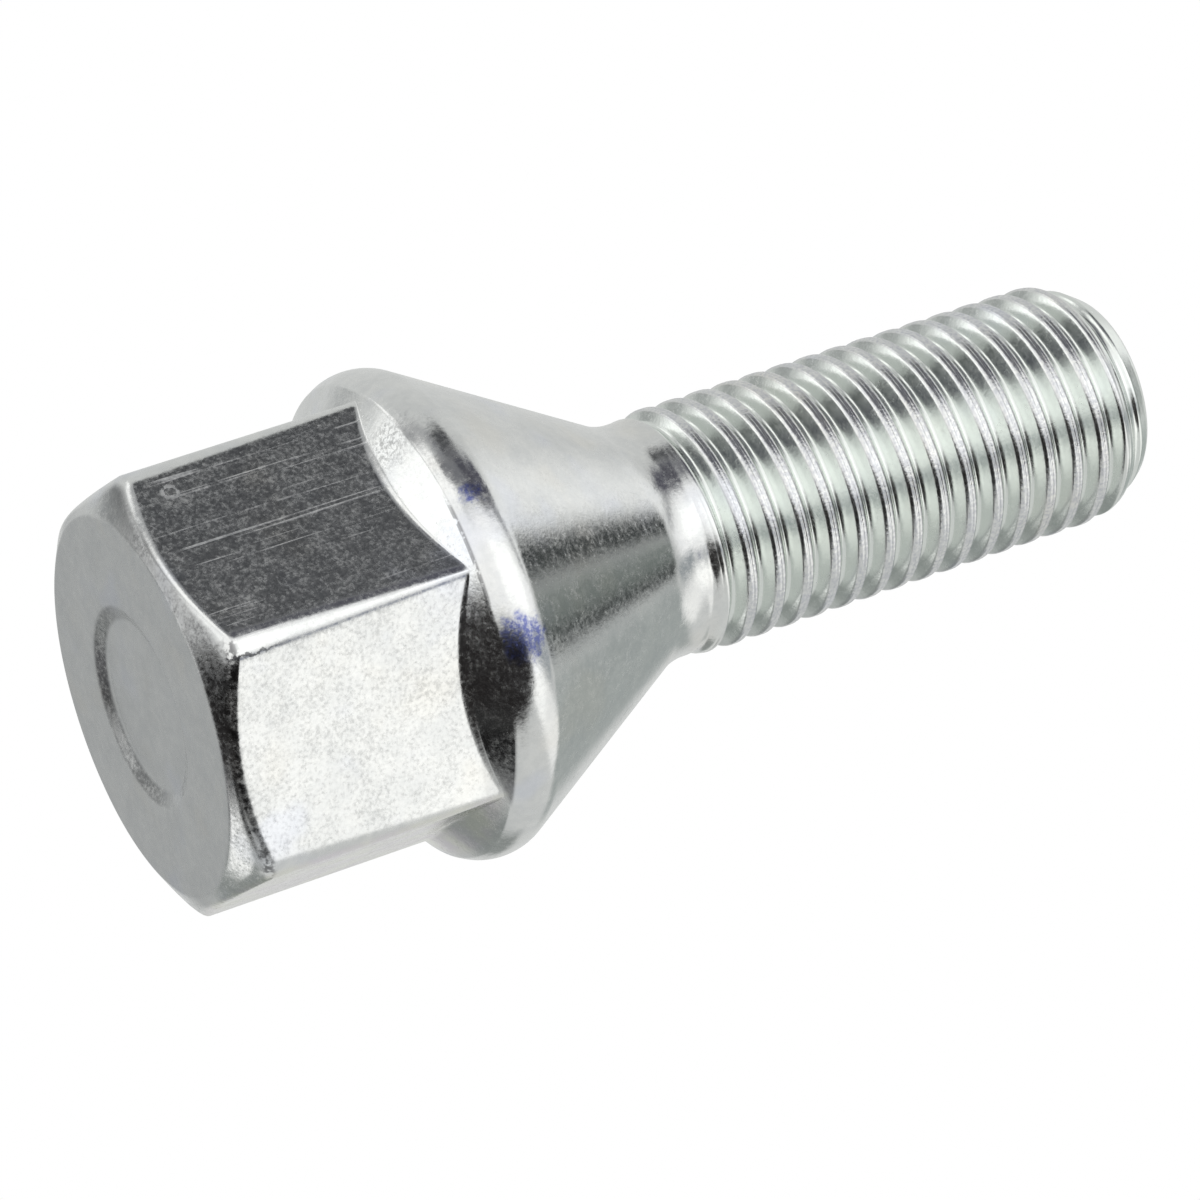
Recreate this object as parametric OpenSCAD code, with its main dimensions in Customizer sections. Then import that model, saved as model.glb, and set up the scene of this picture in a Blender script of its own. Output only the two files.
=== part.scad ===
// Wheel bolt, cold forged and rolled in one piece: a hexagon head with a chamfered end and a
// shallow recess, a flange with a rounded rim, a conical seat that centres the wheel, a short
// neck and the shank, whose plain cylinder has the outside diameter of the thread rolled on it.
// Millimetres. The bolt stands on its head: z = 0 is the head's end face, +Z runs to the tip.

/* [Hexagon head] */
// Width across the flats of the hexagon
across_flats = 19; // [15:0.5:24]
// Height from the end face to the flange, at the middle of a flat
head_height = 11.6; // [7:0.1:18]
// Angle of the chamfer round the end face, from the face
end_chamfer_angle = 30; // [15:1:40]
// Width of that chamfer at the middle of a flat, square to the axis
end_chamfer = 0.65; // [0.3:0.05:1.5]
// How far the forged corners fall short of sharp at the end face
corner_short_end = 0.28; // [0.1:0.01:0.5]
// How far they fall short of sharp at the flange
corner_short_flange = 0.05; // [0.02:0.01:0.1]

/* [Recess in the end face] */
// Diameter of the recess at the face
recess_d = 9.6; // [6:0.1:12]
// Depth of the recess
recess_depth = 0.35; // [0.1:0.05:1]
// Width of the sloping wall round the recess, square to the axis
recess_wall = 0.7; // [0.3:0.05:1.5]

/* [Flange] */
// How far the rim stands out past the hexagon's corners
flange_lip = 0.7; // [0.3:0.05:3]
// Slope of the flange's head side, from square to the axis
flange_back_angle = 37; // [20:1:45]
// Height of the straight band round the rim
rim_band = 0.64; // [0.4:0.04:4]
// Radius of the rim's edge on the head side
rim_back_r = 0.9; // [0.3:0.05:1.5]
// Radius of the rim's edge on the seat side
rim_seat_r = 1.2; // [0.3:0.05:1.5]

/* [Conical seat] */
// Full angle of the cone that seats in the wheel
seat_angle = 60; // [50:1:90]
// Radius of the fillet between the cone and the neck
neck_fillet_r = 3; // [1:0.1:5]

/* [Shank] */
// Outside diameter of the thread
thread_d = 11.85; // [9:0.05:15]
// Pitch of the thread
thread_pitch = 1.5; // [1:0.25:2]
// Length of the plain neck between the fillet and the thread
neck_length = 0.5; // [0.2:0.1:6]
// Length of the thread, tip chamfer included
thread_length = 24.9; // [12:0.1:60]
// Length of the chamfer at the tip
tip_length = 1.9; // [1:0.1:3]

/* [Hidden] */

// Hexagon
corner_r = across_flats / 2 / cos(30);
land_r = across_flats / 2 - end_chamfer;
corner_end_r = corner_r - corner_short_end;
corner_flare = (corner_short_end - corner_short_flange) / head_height;
chamfer_top = (corner_end_r - land_r) / (1 / tan(end_chamfer_angle) - corner_flare);

// Flange, from the tangent points of its two rounded edges
flange_r = corner_r + flange_lip;
back_touch_r = flange_r - rim_back_r * (1 - sin(flange_back_angle));
back_touch_z = head_height + (back_touch_r - across_flats / 2) * tan(flange_back_angle);
band_start_z = back_touch_z + rim_back_r * cos(flange_back_angle);
band_end_z = band_start_z + rim_band;
hexagon_top = (band_start_z + band_end_z) / 2;

// Seat cone, from the rim's rounded edge to the fillet at the neck
half_angle = seat_angle / 2;
seat_r = flange_r - rim_seat_r * (1 - cos(half_angle));
seat_z = band_end_z + rim_seat_r * sin(half_angle);
neck_r = thread_d / 2 - thread_pitch * 0.17;
apex_z = seat_z + (seat_r - neck_r) / tan(half_angle);
fillet_touch = neck_fillet_r * tan(half_angle / 2);
fillet_start_r = neck_r + fillet_touch * sin(half_angle);
fillet_start_z = apex_z - fillet_touch * cos(half_angle);
fillet_end_z = apex_z + fillet_touch;

// Shank
thread_r = thread_d / 2;
thread_z = fillet_end_z + neck_length;
tip_r = thread_r - thread_pitch * 0.82;
tip_z = thread_z + thread_length;

// Fineness of the preview's round surfaces
smooth = 96;

// Hexagon prism, turned inside a profile that chamfers its end and takes its corners off a little
module hexagon_head() {
    corner_top_r = corner_end_r + corner_flare * hexagon_top;
    chamfer_top_r = corner_end_r + corner_flare * chamfer_top;
    intersection() {
        cylinder(h = hexagon_top, r = corner_r, $fn = 6);
        rotate_extrude($fn = smooth)
            polygon([[0, 0], [land_r, 0], [chamfer_top_r, chamfer_top],
                     [corner_top_r, hexagon_top], [0, hexagon_top]]);
    }
}

// Half section of the flange, seat cone, neck and shank
module turned_section() {
    difference() {
        union() {
            polygon([[0, back_touch_z - back_touch_r * tan(flange_back_angle)],
                     [back_touch_r, back_touch_z], [flange_r, band_start_z],
                     [flange_r, band_end_z], [seat_r, seat_z],
                     [fillet_start_r, fillet_start_z], [neck_r, fillet_end_z],
                     [neck_r, thread_z], [thread_r, thread_z + thread_r - neck_r],
                     [thread_r, tip_z - tip_length], [tip_r, tip_z], [0, tip_z]]);
            translate([flange_r - rim_back_r, band_start_z]) circle(r = rim_back_r, $fn = smooth);
            translate([flange_r - rim_seat_r, band_end_z]) circle(r = rim_seat_r, $fn = smooth);
        }
        translate([neck_r + neck_fillet_r, fillet_end_z]) circle(r = neck_fillet_r, $fn = smooth);
    }
}

// Shallow dish with a sloping wall, cut into the end face
module end_recess() {
    past_face = 1;
    mouth_r = recess_d / 2;
    slope = recess_wall / recess_depth;
    rotate_extrude($fn = smooth)
        polygon([[0, -past_face], [mouth_r + slope * past_face, -past_face],
                 [mouth_r - recess_wall, recess_depth], [0, recess_depth]]);
}

module wheel_bolt() {
    color([0.74, 0.75, 0.74])
        difference() {
            union() {
                hexagon_head();
                rotate_extrude($fn = smooth) turned_section();
            }
            end_recess();
        }
}

wheel_bolt();
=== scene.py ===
from math import atan2, ceil, cos, floor, hypot, pi, radians, sin, tan

import bmesh
import bpy
from mathutils import Matrix, Vector


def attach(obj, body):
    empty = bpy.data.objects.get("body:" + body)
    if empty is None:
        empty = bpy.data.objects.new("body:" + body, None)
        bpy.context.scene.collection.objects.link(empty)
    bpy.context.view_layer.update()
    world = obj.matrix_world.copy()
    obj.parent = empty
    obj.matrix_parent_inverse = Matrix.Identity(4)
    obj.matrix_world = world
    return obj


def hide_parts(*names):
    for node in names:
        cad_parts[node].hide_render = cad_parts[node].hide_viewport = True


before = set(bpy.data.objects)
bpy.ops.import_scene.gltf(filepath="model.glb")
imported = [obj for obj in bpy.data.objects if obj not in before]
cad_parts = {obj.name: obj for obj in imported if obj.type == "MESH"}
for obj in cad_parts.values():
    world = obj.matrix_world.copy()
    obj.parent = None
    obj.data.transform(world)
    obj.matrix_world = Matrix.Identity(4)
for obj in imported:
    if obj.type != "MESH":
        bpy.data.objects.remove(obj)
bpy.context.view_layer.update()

scene = bpy.context.scene
scene.view_settings.view_transform = "Standard"

# Camera: a long lens about 230 mm from the bolt, looking at it from the head's side, so that in
# the bolt's own frame, where it stands on its head, the view comes up from below the head.
camera_place = (0.088607, 0.201665, -0.074565)
view_right = Vector((-0.13209, 0.48035, 0.86707)).normalized()
view_up = Vector((0.91745, -0.27192, 0.29041)).normalized()
view_back = view_right.cross(view_up).normalized()
lens = bpy.data.cameras.new("camera")
lens.sensor_width = 36
lens.lens = 156.08
lens.clip_start = 0.01
lens.clip_end = 20
camera = bpy.data.objects.new("camera", lens)
scene.collection.objects.link(camera)
turned = Matrix((view_right, view_up, view_back)).transposed().to_4x4()
camera.matrix_world = Matrix.Translation(camera_place) @ turned
scene.camera = camera


# Studio: an even white tent with a few pale and dark panels that the bright metal mirrors, one
# large softbox, and a pale table under the head, which is seen only from above.
class Socket:
    """A shader socket that takes plain arithmetic: each sum or product adds its Math node."""

    def __init__(self, link):
        self.link = link
        self.tree = link.id_data

    def add(self, kind, settings, inputs, output=0):
        made = self.tree.nodes.new(kind)
        for name, value in settings.items():
            setattr(made, name, value)
        for name, value in inputs.items():
            if isinstance(value, Socket):
                self.tree.links.new(value.link, made.inputs[name])
            else:
                made.inputs[name].default_value = value
        return Socket(made.outputs[output])

    def math(self, operation, first, second=0.0):
        return self.add("ShaderNodeMath", {"operation": operation}, {0: first, 1: second})

    def __add__(self, other):
        return self.math("ADD", self, other)

    __radd__ = __add__

    def __sub__(self, other):
        return self.math("SUBTRACT", self, other)

    def __rsub__(self, other):
        return self.math("SUBTRACT", other, self)

    def __mul__(self, other):
        return self.math("MULTIPLY", self, other)

    __rmul__ = __mul__

    def __truediv__(self, other):
        return self.math("DIVIDE", self, other)

    def __abs__(self):
        return self.math("ABSOLUTE", self)

    def most(self, other):
        return self.math("MAXIMUM", self, other)

    def least(self, other):
        return self.math("MINIMUM", self, other)

    def step(self, start, end, low=0.0, high=1.0):
        """Rises smoothly from low to high while this value goes from start to end."""
        return self.add("ShaderNodeMapRange", {"interpolation_type": "SMOOTHSTEP"},
                        {0: self, 1: start, 2: end, 3: low, 4: high})

    def mix(self, low, high):
        """The colour low where this value is 0, and high where it is 1."""
        return self.add("ShaderNodeMix", {"data_type": "RGBA"}, {0: self, 6: low, 7: high}, 2)

    def dot(self, direction):
        return self.add("ShaderNodeVectorMath", {"operation": "DOT_PRODUCT"},
                        {0: self, 1: direction}, 1)

    def distance(self, point):
        return self.add("ShaderNodeVectorMath", {"operation": "DISTANCE"},
                        {0: self, 1: point}, 1)

    def stretch(self, scale):
        return self.add("ShaderNodeVectorMath", {"operation": "MULTIPLY"}, {0: self, 1: scale})

    def noise(self, scale, detail=2.0, roughness=0.5):
        return self.add("ShaderNodeTexNoise", {},
                        {"Vector": self, "Scale": scale, "Detail": detail, "Roughness": roughness})


# Each panel, as seen from the bolt by someone who faces the camera's way back: degrees round to
# the right of the camera, degrees up, roll, half width, half height, how softly it ends, colour.
# A later panel hangs in front of an earlier one.
panels = [
    (-35, 6, 6, 50, 23, 4, (1.20, 1.20, 1.19)),
    (-80, 3, 0, 24, 20, 4, (1.50, 1.51, 1.49)),
    (-62, 44, 0, 34, 13, 4, (1.35, 1.35, 1.33)),
    (42, 21, 4, 42, 27, 6, (1.20, 1.20, 1.20)),
    (44, 18, 4, 22, 14, 4, (1.50, 1.51, 1.49)),
    (105, 33, -8, 35, 14, 8, (1.05, 1.06, 1.05)),
    (0, 76, 0, 70, 9, 4, (0.46, 0.465, 0.47)),
    (-5, 71, 0, 13, 6, 4, (0.26, 0.265, 0.28)),
    (12, 59, 0, 30, 8, 4, (0.20, 0.203, 0.22)),
    (-122, 14, 0, 8, 6, 3, (0.36, 0.37, 0.37)),
    (80, 56, 0, 11, 10, 3, (0.09, 0.09, 0.115)),
    (50, 63, 0, 9, 11, 3, (0.09, 0.09, 0.11)),
    (50, 83, 0, 15, 7, 3, (0.07, 0.072, 0.077)),
    (110, 22, 0, 12, 6, 4, (0.045, 0.05, 0.05)),
    (110, 8, 0, 12, 7, 4, (0.22, 0.245, 0.23)),
    (113, 1.5, 0, 9, 3, 3, (0.03, 0.035, 0.035)),
    (-128, -13, 0, 34, 20, 6, (0.45, 0.46, 0.46)),
    (-146, -46, 0, 32, 13, 5, (0.29, 0.31, 0.30)),
    (-99, -33, 0, 12, 9, 4, (0.22, 0.22, 0.23)),
    (-109, -43.5, 0, 13, 3.5, 2, (1.40, 1.40, 1.38)),
    (135, -17, 0, 22, 14, 5, (0.42, 0.45, 0.44)),
    (88, -30, 0, 32, 12, 4, (1.10, 1.10, 1.08)),
    (64, -28, 0, 13, 10, 4, (1.36, 1.36, 1.33)),
    (82, -7, 0, 18, 6, 4, (0.34, 0.37, 0.39)),
    (53, -13, 10, 6, 4, 3, (0.26, 0.28, 0.36)),
    (-20, -40, 0, 61, 22, 4, (0.02, 0.018, 0.018)),
    (-80, -50, 0, 9, 10, 3, (0.03, 0.03, 0.03)),
]
tent_colour = (0.72, 0.73, 0.72, 1)
backdrop_colour = (1, 1, 1, 1)
least_front = 0.001
world = bpy.data.worlds.new("studio")
world.use_nodes = True
scene.world = world
tent = world.node_tree
tent.nodes.clear()
outward = Socket(tent.nodes.new("ShaderNodeTexCoord").outputs["Generated"])
glow = tent_colour
for round_to, height, roll, half_width, half_height, soft, colour in panels:
    level = view_right * sin(radians(round_to)) + view_back * cos(radians(round_to))
    centre = level * cos(radians(height)) + view_up * sin(radians(height))
    across = view_up.cross(centre).normalized()
    across.rotate(Matrix.Rotation(radians(roll), 3, centre))
    along = centre.cross(across)
    front = outward.dot(centre).most(least_front)
    sideways = abs(outward.dot(across) / front)
    upwards = abs(outward.dot(along) / front)
    covered = (sideways.step(tan(radians(half_width + soft)), tan(radians(half_width - soft)))
               * upwards.step(tan(radians(half_height + soft)), tan(radians(half_height - soft)))
               * outward.dot(centre).step(0, 0.1))
    glow = covered.mix(glow, (*colour, 1))
seen = Socket(tent.nodes.new("ShaderNodeLightPath").outputs["Is Camera Ray"])
tent_light = seen.add("ShaderNodeBackground", {},
                      {"Color": seen.mix(glow, backdrop_colour), "Strength": 1.0})
tent_out = tent.nodes.new("ShaderNodeOutputWorld")
tent.links.new(tent_light.link, tent_out.inputs["Surface"])

softbox_place = view_right * 0.801 - view_up * 0.454 + view_back * 0.391
softbox_far = 0.6
softbox_size = 0.34
softbox_area = pi * softbox_size ** 2 / 4
softbox_brightness = 3.0
softbox = bpy.data.lights.new("softbox", "AREA")
softbox.shape = "DISK"
softbox.size = softbox_size
softbox.energy = softbox_brightness * pi * softbox_area
softbox_stand = bpy.data.objects.new("softbox", softbox)
softbox_stand.location = softbox_place * softbox_far
softbox_stand.rotation_mode = "QUATERNION"
softbox_stand.rotation_quaternion = softbox_place.to_track_quat("Z", "Y")
softbox_stand.visible_glossy = False
scene.collection.objects.link(softbox_stand)

MM = 0.001
table_width = 4.0
table_gap = 0.1 * MM
table_colour = (0.86, 0.86, 0.86, 1)
table_glow = 0.42
table_mesh = bmesh.new()
bmesh.ops.create_grid(table_mesh, x_segments=1, y_segments=1, size=table_width / 2)
bmesh.ops.translate(table_mesh, verts=table_mesh.verts, vec=(0, 0, -table_gap))
table_data = bpy.data.meshes.new("table")
table_mesh.to_mesh(table_data)
table_mesh.free()
table = bpy.data.objects.new("table", table_data)
scene.collection.objects.link(table)
table.visible_glossy = False
table.visible_diffuse = False
table.visible_shadow = False
table_top = bpy.data.materials.new("table_top")
table_top.use_nodes = True
paint = table_top.node_tree
paint.nodes.clear()
underside = Socket(paint.nodes.new("ShaderNodeNewGeometry").outputs["Backfacing"])
pale = underside.add("ShaderNodeBsdfDiffuse", {}, {"Color": table_colour})
lit = underside.add("ShaderNodeEmission", {}, {"Color": (1, 1, 1, 1), "Strength": table_glow})
white = underside.add("ShaderNodeAddShader", {}, {0: pale, 1: lit})
clear = underside.add("ShaderNodeBsdfTransparent", {}, {})
either = underside.add("ShaderNodeMixShader", {}, {0: underside, 1: white, 2: clear})
paint_out = paint.nodes.new("ShaderNodeOutputMaterial")
paint.links.new(either.link, paint_out.inputs["Surface"])
table_data.materials.append(table_top)

# The wheel bolt: cold forged from one length of steel wire, its thread rolled on, then bright
# zinc plated. Hexagon head with a dished end, round flange, 60 degree seat cone, neck and
# shank with an M12 x 1.5 right-hand thread. Its sizes are in millimetres.
flat_r = 9.5
land_r = 8.85
recess_floor_r = 4.0
recess_mouth_r = 4.8
recess_depth = 0.35
chamfer_slope = radians(30)
chamfer_z = (flat_r - land_r) * tan(chamfer_slope)
corner_end_r = 10.69
corner_flare = 0.0198
edge_softness = 0.16
head_height = 11.6
back_slope = radians(37)
back_edge_r = 11.27
back_edge_z = head_height + (back_edge_r - flat_r) * tan(back_slope)
rim_r = 11.915
rim_z = 14.2
neck_r = 5.67
cone_apex_z = 25.034
neck_end_z = 25.95

# Corners of the half section: radius, height, and the radius and segments of its rounding
half_section = [
    (0.0, recess_depth, 0, 0),
    (recess_floor_r, recess_depth, 0.9, 4),
    (recess_mouth_r, 0.0, 0.9, 4),
    (land_r, 0.0, 0.35, 3),
    (flat_r, chamfer_z, 0.5, 5),
    (flat_r, head_height, 0.5, 6),
    (back_edge_r, back_edge_z, 0.3, 4),
    (rim_r, rim_z, 1.9, 12),
    (neck_r, cone_apex_z, 3.0, 8),
    (neck_r, neck_end_z, 0, 0),
]


def rounded_line(corners, support, longest):
    """A line through (radius, height) corners, rounded, with close points beside each rounding."""
    mesh = bmesh.new()
    line = [mesh.verts.new((r, 0, z)) for r, z, _, _ in corners]
    for pair in zip(line, line[1:]):
        mesh.edges.new(pair)
    for k in range(1, len(corners) - 1):
        rounding, segments = corners[k][2:]
        if rounding:
            before = Vector(corners[k][:2]) - Vector(corners[k - 1][:2])
            after = Vector(corners[k + 1][:2]) - Vector(corners[k][:2])
            reach = rounding * tan(before.angle(after) / 2)
            bmesh.ops.bevel(mesh, geom=[line[k]], offset=reach, offset_type="OFFSET",
                            segments=segments, profile=0.5, affect="VERTICES", material=-1)
    for edge in list(mesh.edges):
        length = edge.calc_length()
        if length > 4 * support:
            first, last = edge.verts
            _, near = bmesh.utils.edge_split(edge, first, support / length)
            middle = next(e for e in near.link_edges if last in e.verts)
            bmesh.utils.edge_split(middle, last, support / (length - support))
    for edge in list(mesh.edges):
        cuts = ceil(edge.calc_length() / longest) - 1
        if cuts > 0:
            bmesh.ops.subdivide_edges(mesh, edges=[edge], cuts=cuts)
    return mesh


def wound_round(mesh, angle, steps, rise, copies, turn, climb):
    """Spins a line into one sector, then repeats the sector, each turned and raised in turn."""
    bmesh.ops.spin(mesh, geom=mesh.verts[:] + mesh.edges[:], cent=(0, 0, 0), axis=(0, 0, 1),
                   dvec=(0, 0, rise), angle=angle, steps=steps, use_merge=False)
    sector = mesh.verts[:] + mesh.edges[:] + mesh.faces[:]
    for k in range(1, copies):
        copied = bmesh.ops.duplicate(mesh, geom=sector)["geom"]
        moved = [g for g in copied if isinstance(g, bmesh.types.BMVert)]
        bmesh.ops.rotate(mesh, verts=moved, cent=(0, 0, 0), matrix=Matrix.Rotation(turn * k, 3, "Z"))
        bmesh.ops.translate(mesh, verts=moved, vec=(0, 0, climb * k))
    bmesh.ops.remove_doubles(mesh, verts=mesh.verts, dist=1e-4)


sixth = pi / 3
columns = 64
bolt_mesh = rounded_line(half_section, 0.06, 0.7)
wound_round(bolt_mesh, sixth, columns, 0, 6, sixth, 0)


def soft_least(first, second, softness):
    """The lesser of two radii, with the edge between them rounded off."""
    close = max(softness - abs(first - second), 0) / softness
    return min(first, second) - close * close * softness / 4


# The die presses the turned head into a hexagon: its columns crowd towards the corners, and
# each point moves out by how far the hexagon lies outside its own inscribed circle.
crowding = 0.8
at_axis = 1e-4
press_end_z = head_height + 2
press_fade_r = back_edge_r - 0.15
chamfer_end_z = chamfer_z + 0.5
for vert in bolt_mesh.verts:
    radius = hypot(vert.co.x, vert.co.y)
    if radius < at_axis:
        continue
    turn = atan2(vert.co.y, vert.co.x) / sixth
    share = turn - floor(turn)
    share -= crowding * sin(2 * pi * share) / (2 * pi)
    angle = (floor(turn) + share) * sixth
    z = vert.co.z
    out = 0.0
    lift = 0.0
    if z < press_end_z and radius > land_r:
        hexagon = flat_r / cos((share - 0.5) * sixth)
        corner = corner_end_r + corner_flare * z
        out = soft_least(hexagon, corner, edge_softness) - flat_r
        if z < chamfer_end_z:
            out *= min((radius - land_r) / (flat_r - land_r), 1)
        if radius > flat_r:
            out *= max(1 - (radius - flat_r) / (press_fade_r - flat_r), 0)
        along = min(max((z - chamfer_z) / (head_height - chamfer_z), 0), 1)
        lift = out * ((1 - along) * tan(chamfer_slope) + along * tan(back_slope))
    vert.co = ((radius + out) * cos(angle), (radius + out) * sin(angle), z + lift)

# Thread: one pitch of its profile, from crest to crest, wound up the shank. The crests are
# rolled nearly shut, with a fine seam along the middle of each.
pitch = 1.5
crest_r = 5.9
crest_half = 0.235
crest_round = 0.2
root_r = 5.18
root_round = 0.26
seam_half = 0.06
seam_depth = 0.018
thread_steps = 84
thread_turns = 20
first_root_z = 22.75
one_pitch = [
    (crest_r - seam_depth, -pitch / 2, 0, 0),
    (crest_r, -pitch / 2 + seam_half, seam_half, 2),
    (crest_r, -pitch / 2 + crest_half, crest_round, 7),
    (root_r - root_round, 0, root_round, 9),
    (crest_r, pitch / 2 - crest_half, crest_round, 7),
    (crest_r, pitch / 2 - seam_half, seam_half, 2),
    (crest_r - seam_depth, pitch / 2, 0, 0),
]
thread_mesh = rounded_line(one_pitch, 0.05, 0.35)
bmesh.ops.translate(thread_mesh, verts=thread_mesh.verts, vec=(0, 0, first_root_z))
wound_round(thread_mesh, 2 * pi, thread_steps, pitch / thread_steps, thread_turns, 0, pitch)

# The thread is cut off square at the neck and at the tip, runs out smoothly towards the neck,
# and is chamfered at the tip.
ring_z = 26.0
runout_start_z = 26.1
runout_length = 1.7
tip_z = 51.238
tip_r = 4.695
tip_slope = 0.647
tip_softness = 0.5
tip_ring_z = 50.95
for cut_z, outer in ((ring_z, False), (tip_ring_z, True)):
    bmesh.ops.bisect_plane(thread_mesh, dist=1e-5, plane_co=(0, 0, cut_z), plane_no=(0, 0, 1),
                           geom=thread_mesh.verts[:] + thread_mesh.edges[:] + thread_mesh.faces[:],
                           clear_outer=outer, clear_inner=not outer)
for vert in thread_mesh.verts:
    radius = hypot(vert.co.x, vert.co.y)
    z = vert.co.z
    rise = min(max((z - runout_start_z) / runout_length, 0), 1)
    rise = rise * rise * (3 - 2 * rise)
    new = neck_r + (radius - neck_r) * rise
    new = soft_least(new, tip_r + (tip_z - z) * tip_slope, tip_softness)
    vert.co.x *= new / radius
    vert.co.y *= new / radius


def open_ring(mesh, above_z):
    """The open edges of a mesh that lie above a height."""
    return [e for e in mesh.edges if len(e.link_faces) == 1 and e.verts[0].co.z > above_z]


def pulled_on(mesh, edges):
    """Extrudes open edges and gives the new open ones."""
    pulled = bmesh.ops.extrude_edge_only(mesh, edges=edges)["geom"]
    return [e for e in pulled if isinstance(e, bmesh.types.BMEdge) and len(e.link_faces) == 1]


# The tip's edge rolls over into its flat end, which closes in the middle
tip_rings = [(4.78, 51.08), (4.68, 51.17), (4.53, 51.222), (4.35, tip_z), (4.25, tip_z),
             (3.0, tip_z), (1.5, tip_z)]
ring = open_ring(thread_mesh, tip_ring_z - 1)
for ring_r, z in tip_rings:
    ring = pulled_on(thread_mesh, ring)
    for vert in {v for e in ring for v in e.verts}:
        radius = hypot(vert.co.x, vert.co.y)
        vert.co = (vert.co.x * ring_r / radius, vert.co.y * ring_r / radius, z)
ring = pulled_on(thread_mesh, ring)
bmesh.ops.pointmerge(thread_mesh, verts=list({v for e in ring for v in e.verts}),
                     merge_co=(0, 0, tip_z))

# Head and thread meet in the plain neck
shank_data = bpy.data.meshes.new("shank")
thread_mesh.to_mesh(shank_data)
thread_mesh.free()
bolt_mesh.from_mesh(shank_data)
bpy.data.meshes.remove(shank_data)
bmesh.ops.bridge_loops(bolt_mesh, edges=open_ring(bolt_mesh, 0))

bmesh.ops.scale(bolt_mesh, verts=bolt_mesh.verts, vec=(MM, MM, MM))
bmesh.ops.remove_doubles(bolt_mesh, verts=bolt_mesh.verts, dist=1e-8)
bmesh.ops.recalc_face_normals(bolt_mesh, faces=bolt_mesh.faces)
bolt_data = bpy.data.meshes.new("wheel_bolt_forged")
bolt_mesh.to_mesh(bolt_data)
bolt_mesh.free()
for face in bolt_data.polygons:
    face.use_smooth = True
bolt = bpy.data.objects.new("wheel_bolt_forged", bolt_data)
scene.collection.objects.link(bolt)

# The plating's colours, with one near-black for soil and painted shade
zinc_dull = (0.66, 0.67, 0.67, 1)
zinc_bright = (0.765, 0.77, 0.76, 1)
blue_cast = (0.66, 0.69, 0.80, 1)
straw_cast = (0.77, 0.74, 0.67, 1)
groove_colour = (0.785, 0.825, 0.79, 1)
crest_colour = (0.50, 0.51, 0.56, 1)
soil_and_shade_colour = (0.09, 0.09, 0.095, 1)
violet_colour = (0.20, 0.23, 0.50, 1)
rosy_flat = (0.78, 0.69, 0.77, 1)
straw_flat = (0.78, 0.77, 0.65, 1)
bare_scratch = (0.86, 0.86, 0.87, 1)

zinc = bpy.data.materials.new("zinc_plate_forged")
zinc.use_nodes = True
plate = zinc.node_tree
plate.nodes.clear()
place = Socket(plate.nodes.new("ShaderNodeTexCoord").outputs["Object"]).stretch((1 / MM,) * 3)
x, y, z = (place.add("ShaderNodeSeparateXYZ", {}, {0: place}, k) for k in range(3))
radius = place.stretch((1, 1, 0)).distance((0, 0, 0))

# Parts of the surface: each mask is 1 on its part, by height and distance from the axis
on_face = z.step(0.5, 0.1) * radius.step(9.0, 8.8)
on_head = z.step(12.9, 12.5) * (1 - on_face)
past_flats = z.step(11.4, 12.2)
on_thread = z.step(26.6, 27.4)
in_groove = on_thread * radius.step(5.86, 5.7)
on_crest = on_thread * radius.step(5.8, 5.88)
first_flat = (x * cos(sixth / 2) + y * sin(sixth / 2)).step(9.3, 9.45) * on_head
third_flat = (y * sin(sixth / 2) - x * cos(sixth / 2)).step(9.2, 9.45) * on_head

# The plating's mottling, from the finest to the broadest, in pattern repeats to a millimetre
grain = place.noise(5.5, 3.0, 0.65)
blotch = place.noise(2.2, 3.0, 0.6)
patchy = place.noise(0.7, 2.0, 0.5)
cloud = place.noise(0.5, 3.0, 0.6)
tint = place.noise(0.28, 2.0, 0.5)
fleck = (grain * 0.7 + blotch * 0.3 + patchy * 0.25).step(0.48, 0.90)
dulled = cloud.step(0.3, 0.7) * 0.6 + blotch.step(0.35, 0.65) * 0.4
colour = dulled.mix(zinc_dull, zinc_bright)
colour = (tint.step(0.55, 0.75) * 0.35).mix(colour, blue_cast)
colour = (tint.step(0.45, 0.25) * 0.3).mix(colour, straw_cast)
colour = (in_groove * 0.7).mix(colour, groove_colour)
colour = (on_crest * grain.step(0.4, 0.6) * 0.5).mix(colour, crest_colour)

# Painted shade on one side of the end chamfer, standing in for a dark reflection, and its worn upper
# edge with one nick across it
up_chamfer = z - (radius - land_r) * tan(chamfer_slope)
painted_shade_side = (x * 0.77 + y * 0.64).step(6.2, 8.6)
chamfer_painted_shade = up_chamfer.step(0.10, 0.0) * (1 - on_face) * painted_shade_side
worn = up_chamfer.step(0.5, 0.12) * up_chamfer.step(0.0, 0.1) * y.step(8.6, 9.2)
uneven_x = x + blotch * 0.8
nick = uneven_x.step(5.22, 5.28) * uneven_x.step(5.42, 5.34) * z.step(4.5, 2.0)
soil_and_painted_shade = (chamfer_painted_shade * (0.62 + fleck * 0.25)
        + (worn * blotch.step(0.58, 0.46) + nick * y.step(9.0, 9.3)) * 0.8)

# A smudge on the flange's head side, painted shade along a short stretch of the crease at the edge
# of the rim, and painted shade under the second flat
smudge_place = (9.96, 3.63, 12.45)
smudge = (place.distance(smudge_place) + blotch * 1.8).step(2.6, 1.3)
soil_and_painted_shade = soil_and_painted_shade + smudge * grain.step(0.42, 0.62) * 0.45
below_rim = z.step(13.3, 13.2)
rim_edge = radius.step(11.12, 11.18) * radius.step(11.32, 11.26) * below_rim
soil_and_painted_shade = soil_and_painted_shade + rim_edge * y.step(7.2, 8.2) * x.step(3.5, 4.5) * blotch.step(0.36, 0.5) * 0.6
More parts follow.
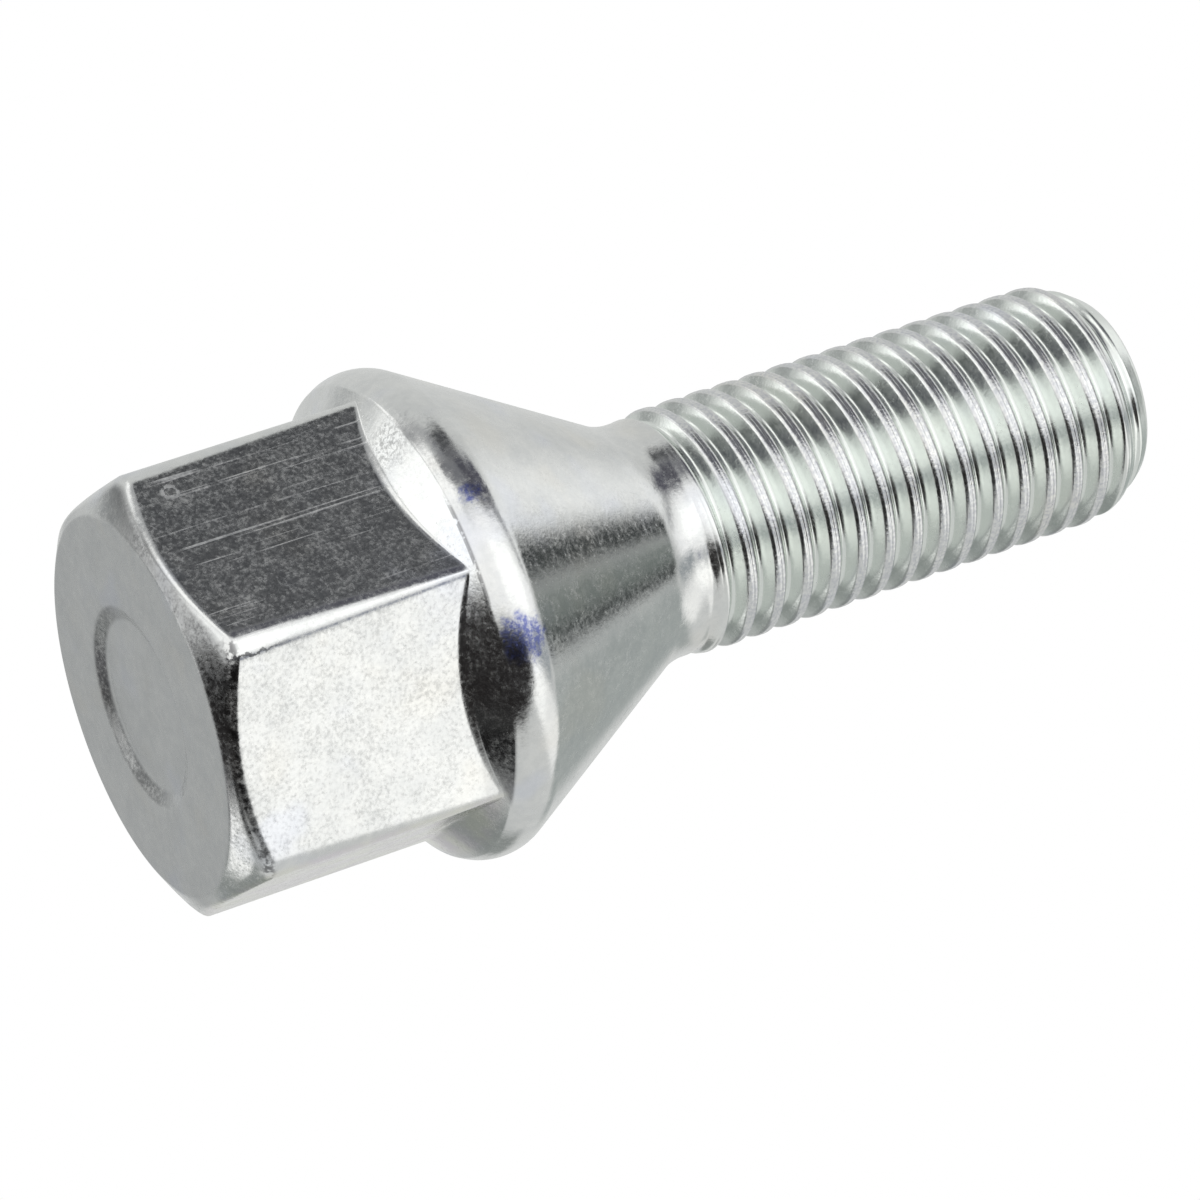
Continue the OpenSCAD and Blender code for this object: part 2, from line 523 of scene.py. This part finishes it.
# Mottled painted shade on the flange's head side under the second flat
under_flat = radius.step(9.6, 9.8) * radius.step(11.32, 11.2) * z.step(11.7, 11.9) * below_rim
second_side = x.step(-1.2, -2.6) * y.step(9.4, 9.8)
soil_and_painted_shade = soil_and_painted_shade + under_flat * second_side * (0.5 + 0.5 * (1 - fleck)) * 0.8

# Mottled painted shade on the lower side of the recess's wall
recess_wall = radius.step(3.9, 4.2) * radius.step(4.85, 4.6) * z.step(0.6, 0.5)
lower_side = (0.17 * x + 0.98 * y).step(1.5, -1.5)
soil_and_painted_shade = soil_and_painted_shade + recess_wall * lower_side * (0.2 + 0.45 * (1 - fleck))
# Soil, wear and painted shade darken the plating together towards near-black
colour = soil_and_painted_shade.least(1.0).mix(colour, soil_and_shade_colour)

# Two blue spots on the rim, where the plating is thicker: each one's place and size
rim_spots = [((8.35, 8.05, 13.95), 1.4), ((2.35, 11.35, 13.8), 2.05)]
violet = 0.0
for spot, reach in rim_spots:
    violet = (place.distance(spot) + blotch * 1.4).step(reach, reach - 0.5) + violet
on_rim = (radius + blotch * 0.3).step(11.38, 11.5)
colour = (violet * on_rim * grain.step(0.35, 0.6, 0.35, 1.0)).mix(colour, violet_colour)

# The third flat shimmers from rosy to straw, and the first has scratches along the bolt and a
# small round scuff near the end face
shimmer = cloud.step(0.35, 0.65).mix(rosy_flat, straw_flat)
colour = (third_flat * 0.4).mix(colour, shimmer)
drawn = place.stretch((6.0, 6.0, 0.09)).noise(1.0, 1.0, 0.5)
scratch = drawn.step(0.62, 0.72) * place.noise(0.4, 1.0).step(0.4, 0.6) * first_flat
scuff_place = (10.04, 1.62, 2.6)
scuff_radius = 0.5
off_scuff = abs(place.distance(scuff_place) + grain * 0.3 - scuff_radius)
scuff = off_scuff.step(0.12, 0.05) * blotch.step(0.42, 0.52) * first_flat
scratch = scratch.most(scuff * 0.8)
colour = (scratch * 0.5).mix(colour, bare_scratch)

calmer = 1 - on_thread * 0.2 - past_flats * 0.25
rough = (fleck * calmer * 0.27 + 0.13
         + scratch * 0.2 + on_face * 0.07 + on_thread * 0.03)
height = grain * 0.5 + blotch * 0.7 + cloud * 0.7 + scratch * 0.3 + on_crest * grain * 1.6
bumped = grain.add("ShaderNodeBump", {},
                   {"Strength": 0.8, "Distance": 0.010 * MM, "Height": height})
metal = grain.add("ShaderNodeBsdfPrincipled", {},
                  {"Base Color": colour, "Metallic": 1.0, "Roughness": rough, "Normal": bumped})
zinc_out = plate.nodes.new("ShaderNodeOutputMaterial")
plate.links.new(metal.link, zinc_out.inputs["Surface"])
bolt_data.materials.append(zinc)
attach(bolt, "root")
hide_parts("wheel_bolt")
